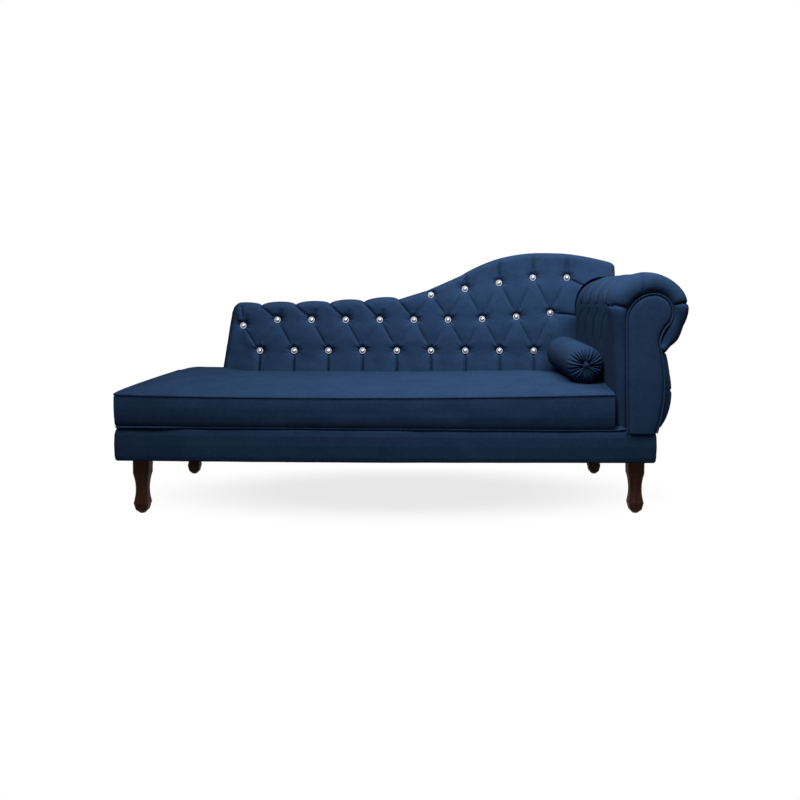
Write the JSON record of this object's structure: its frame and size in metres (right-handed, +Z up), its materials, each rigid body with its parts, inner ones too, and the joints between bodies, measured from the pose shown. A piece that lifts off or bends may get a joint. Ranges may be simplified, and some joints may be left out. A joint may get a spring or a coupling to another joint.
{
  "type": "recamier",
  "caption": "Upholstered recamier with one rolled arm, a diamond-tufted curved back, boxed seat, short wooden legs and a loose bolster.",
  "frame": {"origin": "on the floor under the middle of the bounding box", "axes": "+X to the right seen from the front, where the arm is; +Y to the back; +Z up"},
  "size_m": [1.6, 0.639, 0.774],
  "materials": {
    "navy_fabric": "matte",
    "foam": "matte",
    "webbing": "matte",
    "lining": "matte",
    "frame_wood": "matte",
    "board_wood": "matte",
    "leg_wood": "satin",
    "steel": "satin",
    "stone_glass": "polished"
  },
  "bodies": {
    "frame": {"arm_bottom_rail": "frame_wood", "arm_buttons": "navy_fabric", "arm_fascia": "navy_fabric", "arm_fascia_welt": "navy_fabric", "arm_foam": "foam", "arm_frame_screws": "steel", "arm_front_board": "board_wood", "arm_inner_panel": "board_wood", "arm_outside_cover": "navy_fabric", "arm_rear_board": "board_wood", "arm_top_rail": "frame_wood", "arm_tufted_cover": "navy_fabric", "back_board": "board_wood", "back_bottom_rail": "frame_wood", "back_foam": "foam", "back_frame_screws": "steel", "back_post_1": "frame_wood", "back_post_2": "frame_wood", "back_post_3": "frame_wood", "back_post_4": "frame_wood", "back_rear_cover": "navy_fabric", "back_tufted_cover": "navy_fabric", "base_corner_blocks": "frame_wood", "base_cross_rail_1": "frame_wood", "base_cross_rail_2": "frame_wood", "base_cross_rail_3": "frame_wood", "base_front_cover": "navy_fabric", "base_front_rail": "frame_wood", "base_left_cover": "navy_fabric", "base_left_rail": "frame_wood", "base_rear_cover": "navy_fabric", "base_rear_rail": "frame_wood", "base_right_cover": "navy_fabric", "base_right_rail": "frame_wood", "base_seam_welt": "navy_fabric", "dust_cover": "lining", "leg_front_left": "leg_wood", "leg_front_right": "leg_wood", "leg_hanger_bolts": "steel", "leg_rear_left": "leg_wood", "leg_rear_right": "leg_wood", "leg_tee_nuts": "steel", "seat_back_rail": "frame_wood", "seat_boxing_front": "navy_fabric", "seat_boxing_left": "navy_fabric", "seat_boxing_rear": "navy_fabric", "seat_corner_deck": "board_wood", "seat_corner_rail": "frame_wood", "seat_cross_straps": "webbing", "seat_foam": "foam", "seat_long_straps": "webbing", "seat_top_cover": "navy_fabric", "seat_welt": "navy_fabric", "tuft_cups": "steel", "tuft_stones": "stone_glass", "tuft_ties": "webbing"},
    "bolster": {"bolster_cover": "navy_fabric", "bolster_filling": "foam", "bolster_end_buttons": "navy_fabric"}
  },
  "joints": [
    {"name": "bolster_lift", "type": "slide", "parent": "frame", "child": "bolster", "axis": [-0.2501, -0.2501, 0.9354], "range_m": [0, 0.5]}
  ]
}
